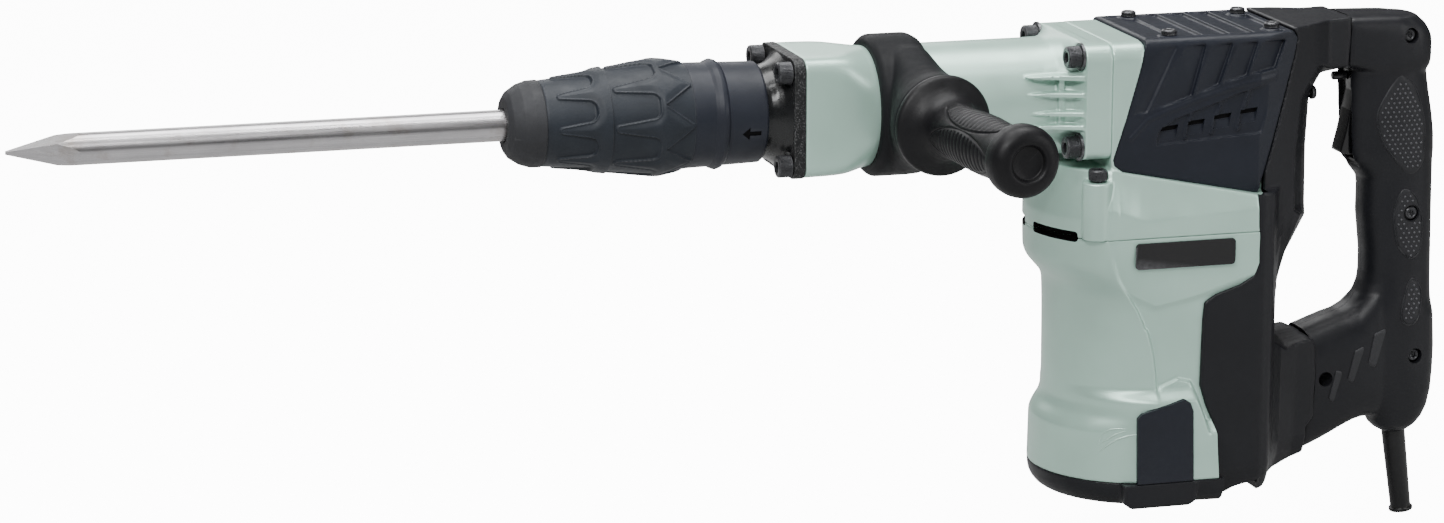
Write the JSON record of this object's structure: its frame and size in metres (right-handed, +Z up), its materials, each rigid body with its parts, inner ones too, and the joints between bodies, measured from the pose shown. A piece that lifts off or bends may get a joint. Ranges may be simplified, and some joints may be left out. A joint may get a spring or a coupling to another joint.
{
  "type": "electric demolition hammer",
  "caption": "Electric demolition hammer with a bull point chisel, sliding chuck grip, upright motor housing, D-shaped rear handle with trigger, and a side handle clamped round the barrel.",
  "frame": {"origin": "centre of the tool socket mouth, on the striking axis at the front face of the dust cap", "axes": "+X rearwards along the striking axis (the chisel points to -X), +Z up with the motor hanging below, +Y to the tool's right-hand side"},
  "size_m": [0.8564, 0.2466, 0.3138],
  "materials": {
    "green": "satin",
    "black_cast": "textured",
    "black_plastic": "fine texture",
    "rubber": "matte",
    "collar": "satin",
    "bit_steel": "ground",
    "steel": "machined",
    "black_bolt": "black oxide",
    "aluminium": "cast",
    "copper": "enamelled",
    "bearing": "polished",
    "gloss_black": "gloss",
    "graphite": "matte",
    "core": "laminated",
    "fan": "moulded",
    "cable": "matte"
  },
  "bodies": {
    "housing": {"tool_holder": "steel", "front_cover": "black_cast", "front_cover_bolts": "black_bolt", "damper_ring": "rubber", "cylinder_liner": "steel", "cylinder_case": "green", "cylinder_case_bolts": "black_bolt", "crank_bearings": "bearing", "intermediate_bearings": "bearing", "crank_case": "green", "crank_case_screws": "black_bolt", "gear_plate": "aluminium", "motor_bearings": "bearing", "stator_core": "core", "field_coils": "copper", "brush_holders": "graphite", "carbon_brushes": "graphite", "motor_housing": "green", "base_cap": "black_plastic", "side_panels": "black_plastic", "badge_plate": "gloss_black", "upper_cover": "black_plastic", "cover_screws": "black_bolt", "rear_cover": "black_plastic", "rear_cover_screws": "black_bolt", "handle_left": "black_plastic", "handle_right": "black_plastic", "handle_screws": "black_bolt", "trigger_pin": "steel", "trigger_switch": "graphite", "cord_guard": "rubber", "power_cable": "cable"},
    "chisel": {"bull_point": "bit_steel"},
    "chuck": {"front_cap": "rubber", "chuck_grip": "rubber", "operating_sleeve": "collar", "retainer_ring": "steel", "chuck_spring": "steel"},
    "ball_upper": {"locking_ball_upper": "bearing"},
    "ball_lower": {"locking_ball_lower": "bearing"},
    "impact_bolt": {"impact_bolt": "steel"},
    "striker": {"striker": "steel", "striker_o_ring": "rubber"},
    "piston": {"piston": "aluminium", "wrist_pin": "steel"},
    "conrod": {"connecting_rod": "steel", "crank_pin": "steel"},
    "crankshaft": {"crankshaft": "steel", "crank_gear": "steel"},
    "intermediate": {"intermediate_gear": "steel"},
    "armature": {"armature_shaft": "steel", "armature_core": "core", "armature_windings": "copper", "commutator": "copper", "cooling_fan": "fan"},
    "trigger": {"trigger": "gloss_black"},
    "lock_button": {"lock_button": "gloss_black"},
    "side_handle": {"clamp_band": "black_plastic", "clamp_bolt": "steel"},
    "side_grip": {"side_grip": "rubber"}
  },
  "joints": [
    {"name": "chisel_slide", "type": "slide", "parent": "housing", "child": "chisel", "axis": [-1, 0, 0], "range_m": [0, 0.012]},
    {"name": "impact_slide", "type": "slide", "parent": "housing", "child": "impact_bolt", "axis": [-1, 0, 0], "range_m": [0, 0.012]},
    {"name": "striker_slide", "type": "slide", "parent": "housing", "child": "striker", "axis": [1, 0, 0], "range_m": [0, 0.025]},
    {"name": "piston_slide", "type": "slide", "parent": "housing", "child": "piston", "axis": [1, 0, 0], "range_m": [0, 0.03]},
    {"name": "conrod_swing", "type": "hinge", "parent": "piston", "child": "conrod", "pos_m": [0.297, 0, 0], "axis": [0, 0, 1], "range_deg": [-12, 12]},
    {"name": "crank_spin", "type": "hinge", "parent": "housing", "child": "crankshaft", "pos_m": [0.384, 0, -0.03], "axis": [0, 0, 1], "continuous": true},
    {"name": "intermediate_spin", "type": "hinge", "parent": "housing", "child": "intermediate", "pos_m": [0.414, 0, -0.05], "axis": [0, 0, 1], "continuous": true},
    {"name": "motor_spin", "type": "hinge", "parent": "housing", "child": "armature", "pos_m": [0.384, 0, -0.15], "axis": [0, 0, 1], "continuous": true},
    {"name": "chuck_slide", "type": "slide", "parent": "housing", "child": "chuck", "axis": [-1, 0, 0], "range_m": [0, 0.01], "deforming": ["chuck_spring"]},
    {"name": "ball_upper_release", "type": "slide", "parent": "housing", "child": "ball_upper", "axis": [0, 0, 1], "range_m": [0, 0.003]},
    {"name": "ball_lower_release", "type": "slide", "parent": "housing", "child": "ball_lower", "axis": [0, 0, -1], "range_m": [0, 0.003]},
    {"name": "trigger_pull", "type": "hinge", "parent": "housing", "child": "trigger", "pos_m": [0.522, 0, 0.003], "axis": [0, -1, 0], "range_deg": [0, 7]},
    {"name": "lock_press", "type": "slide", "parent": "trigger", "child": "lock_button", "axis": [1, 0, 0], "range_m": [0, 0.003]},
    {"name": "side_handle_turn", "type": "hinge", "parent": "housing", "child": "side_handle", "pos_m": [0.232, 0, 0], "axis": [1, 0, 0], "continuous": true},
    {"name": "side_grip_screw", "type": "hinge", "parent": "side_handle", "child": "side_grip", "pos_m": [0.232, 0, 0], "axis": [0.0958, -0.9954, 0], "range_deg": [0, 360]}
  ],
  "couplings": [
    {"joint": "impact_slide", "follows": "chisel_slide", "ratio": 1},
    {"joint": "intermediate_spin", "follows": "motor_spin", "ratio": -0.25},
    {"joint": "crank_spin", "follows": "motor_spin", "ratio": 0.10714},
    {"joint": "ball_upper_release", "follows": "chuck_slide", "ratio": 0.3},
    {"joint": "ball_lower_release", "follows": "chuck_slide", "ratio": 0.3}
  ]
}
